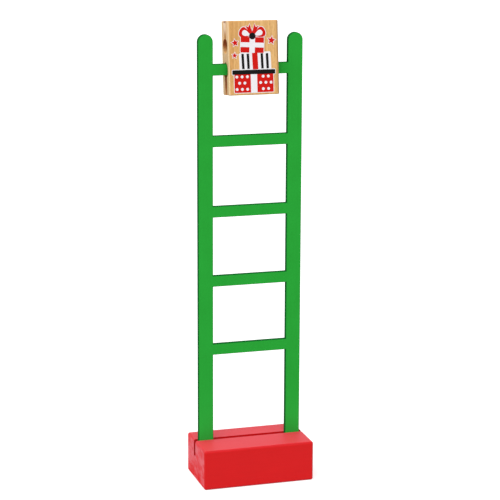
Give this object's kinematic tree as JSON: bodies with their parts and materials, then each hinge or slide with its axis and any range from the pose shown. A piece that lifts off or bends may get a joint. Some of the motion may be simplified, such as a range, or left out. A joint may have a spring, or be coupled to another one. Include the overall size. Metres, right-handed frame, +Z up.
{
  "type": "tumbling ladder toy",
  "caption": "Flat green wooden ladder standing in a grooved red base, with a printed wooden block that tumbles down its rungs on keyhole slots.",
  "frame": {"origin": "centre of the base block's underside", "axes": "+Z up along the ladder, X across the ladder along its rungs, -Y towards the printed front"},
  "size_m": [0.07, 0.0402, 0.2837],
  "materials": {
    "red_paint": "gloss red paint over solid wood",
    "green_paint": "satin green paint over plywood",
    "bare_wood": "bare sanded wood",
    "print_ink": "matt printed ink"
  },
  "bodies": {
    "stand": {"base_block": "red_paint", "ladder": "green_paint"},
    "tumbler": {"tumbler": "bare_wood"}
  },
  "joints": [
    {"name": "tumble", "type": "hinge", "parent": "stand", "child": "tumbler", "pos_m": [0.00045, 0.0031, 0.25402], "axis": [1, 0, 0], "continuous": true}
  ]
}
